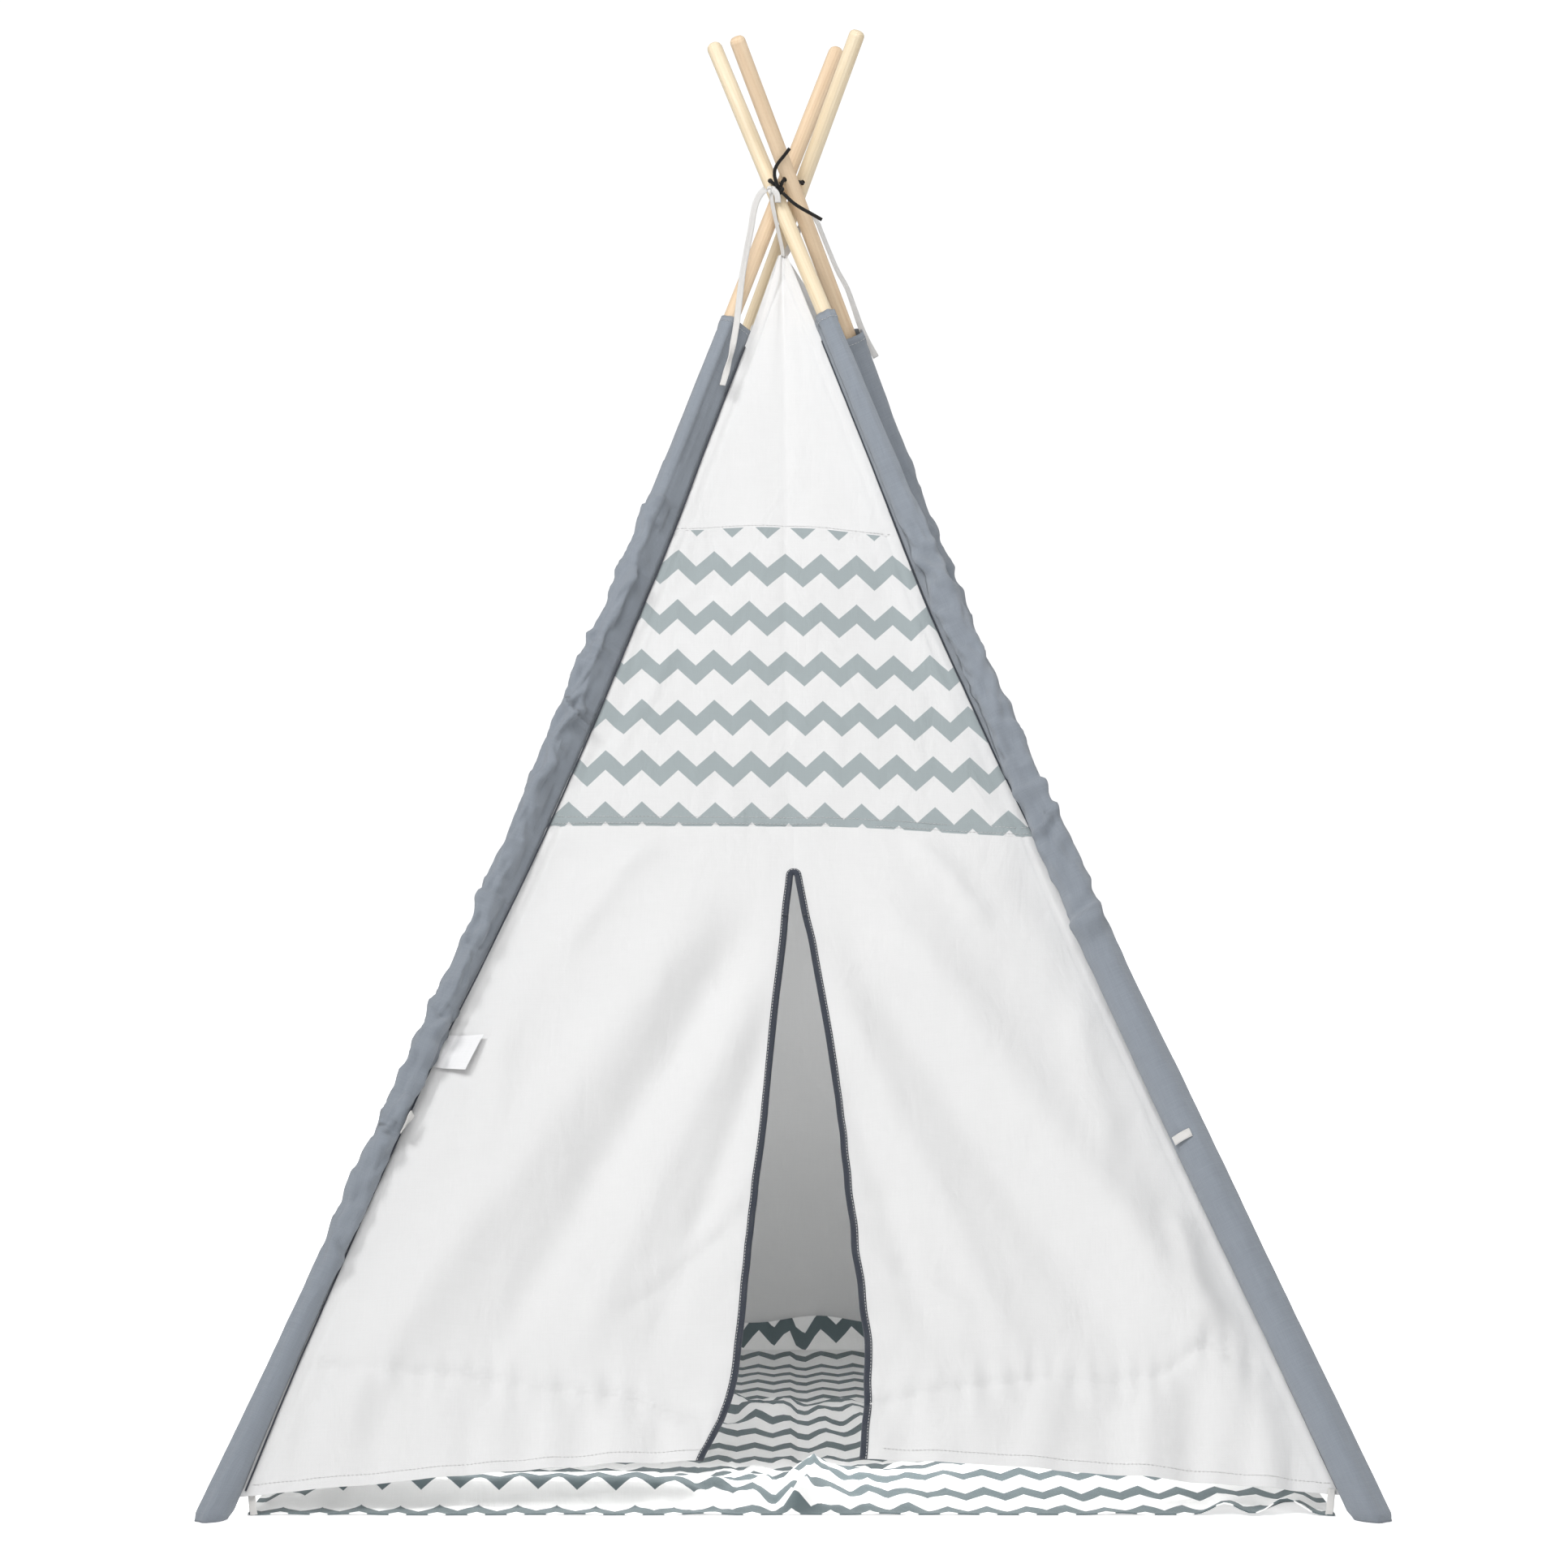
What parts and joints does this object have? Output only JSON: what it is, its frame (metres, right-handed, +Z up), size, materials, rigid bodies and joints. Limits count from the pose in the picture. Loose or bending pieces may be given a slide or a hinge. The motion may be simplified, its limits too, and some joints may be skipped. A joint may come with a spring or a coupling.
{
  "type": "play teepee tent",
  "caption": "Child's play teepee: sectional wooden poles in grey sleeves, white cotton panels with a zigzag band, split door with roll-back flaps, floor mat, elastic lashing at the crossing.",
  "frame": {"origin": "middle of the footprint, on the floor", "axes": "+Z up, the door faces -Y, +X to the right of somebody who looks at the door"},
  "size_m": [1.2013, 1.2012, 1.6141],
  "materials": {
    "pole_cream": "sanded pale pine, unvarnished",
    "pole_tan": "sanded pinkish pine, unvarnished",
    "ferrule": "satin",
    "sleeve_cloth": "plain-weave blue-grey cotton canvas",
    "white_cloth": "plain-weave white cotton",
    "chevron_cloth": "white cotton printed with a pale grey-green zigzag",
    "mat_cloth": "thin quilted white cotton printed with a pale grey-green zigzag",
    "binding_tape": "folded dark blue-grey tape with white stitching",
    "elastic_cord": "braided matte black elastic",
    "cotton_tape": "white twill tape",
    "tab_tape": "white twill tape",
    "label_cloth": "smooth white satin label, blank"
  },
  "bodies": {
    "front_frame": {"pole_front_right_bottom": "pole_cream", "pole_front_right_middle": "pole_cream", "pole_front_right_top": "pole_cream", "ferrule_front_right_lower": "ferrule", "ferrule_front_right_upper": "ferrule", "sleeve_front_right": "sleeve_cloth", "pole_front_left_bottom": "pole_tan", "pole_front_left_middle": "pole_tan", "pole_front_left_top": "pole_tan", "ferrule_front_left_lower": "ferrule", "ferrule_front_left_upper": "ferrule", "sleeve_front_left": "sleeve_cloth", "front_upper": "white_cloth", "front_band": "chevron_cloth", "front_lower_left": "white_cloth", "front_lower_right": "white_cloth", "slit_top_binding": "binding_tape", "care_label": "label_cloth", "left_upper": "white_cloth", "left_band": "chevron_cloth", "left_lower": "white_cloth", "right_upper": "white_cloth", "right_band": "chevron_cloth", "right_lower": "white_cloth", "floor_mat": "mat_cloth", "corner_tab_front_left": "tab_tape", "corner_tab_front_right": "tab_tape", "door_tie_left": "tab_tape", "door_tie_right": "tab_tape", "lashing_loop": "elastic_cord", "lashing_knot": "elastic_cord", "lashing_tail_upper": "elastic_cord", "lashing_tail_lower": "elastic_cord", "ribbon_front_tie": "cotton_tape", "ribbon_knot": "cotton_tape", "ribbon_left_end": "cotton_tape"},
    "rear_frame": {"pole_rear_right_bottom": "pole_tan", "pole_rear_right_middle": "pole_tan", "pole_rear_right_top": "pole_tan", "ferrule_rear_right_lower": "ferrule", "ferrule_rear_right_upper": "ferrule", "sleeve_rear_right": "sleeve_cloth", "pole_rear_left_bottom": "pole_cream", "pole_rear_left_middle": "pole_cream", "pole_rear_left_top": "pole_cream", "ferrule_rear_left_lower": "ferrule", "ferrule_rear_left_upper": "ferrule", "sleeve_rear_left": "sleeve_cloth", "back_upper": "white_cloth", "back_band": "chevron_cloth", "back_lower": "white_cloth", "corner_tab_rear_left": "tab_tape", "corner_tab_rear_right": "tab_tape", "ribbon_rear": "cotton_tape"},
    "door_left": {"door_flap_left": "white_cloth", "door_binding_left": "binding_tape"},
    "door_right": {"door_flap_right": "white_cloth", "door_binding_right": "binding_tape"}
  },
  "joints": [
    {"name": "fold", "type": "hinge", "parent": "front_frame", "child": "rear_frame", "pos_m": [0, 0, 1.425], "axis": [-1, 0, 0], "range_deg": [0, 30], "deforming": ["left_upper", "left_band", "left_lower", "right_upper", "right_band", "right_lower", "floor_mat", "lashing_loop", "front_upper", "back_upper", "ribbon_front_tie"]},
    {"name": "door_left_open", "type": "hinge", "parent": "front_frame", "child": "door_left", "pos_m": [0.003, -0.29331, 0.65132], "axis": [0.5111, 0.3394, 0.7897], "range_deg": [-160, 0]},
    {"name": "door_right_open", "type": "hinge", "parent": "front_frame", "child": "door_right", "pos_m": [0.003, -0.29331, 0.65132], "axis": [0.5055, -0.3407, -0.7927], "range_deg": [-160, 0]}
  ]
}
